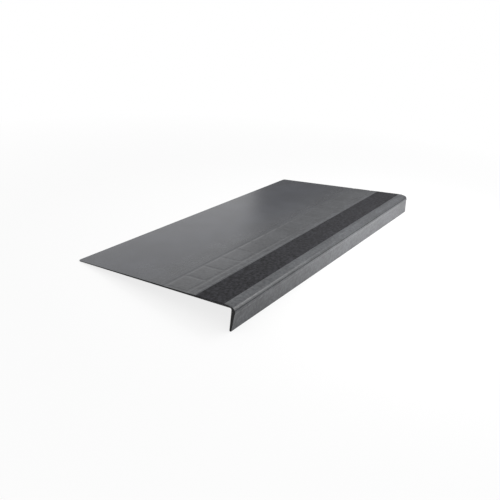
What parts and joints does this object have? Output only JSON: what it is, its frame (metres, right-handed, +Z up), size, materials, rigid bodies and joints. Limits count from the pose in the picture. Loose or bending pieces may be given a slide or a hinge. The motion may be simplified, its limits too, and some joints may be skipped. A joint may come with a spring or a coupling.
{
  "type": "rubber stair tread",
  "caption": "Rubber stair tread with a bevelled square nose and flange, an inset abrasive grip strip, shallow grooves and a row of square pads.",
  "frame": {"origin": "centre of the footprint, on the floor that the unheld tread rests on", "axes": "+X along the nose, +Y from the nose to the back edge, +Z up"},
  "size_m": [0.61, 0.3036, 0.0371],
  "materials": {
    "rubber": "semi-gloss moulded rubber, mid grey",
    "grit": "coarse matte abrasive grit in a near-black binder"
  },
  "bodies": {
    "root": {"rubber_tread": "rubber", "grit_strip": "grit"}
  },
  "joints": []
}
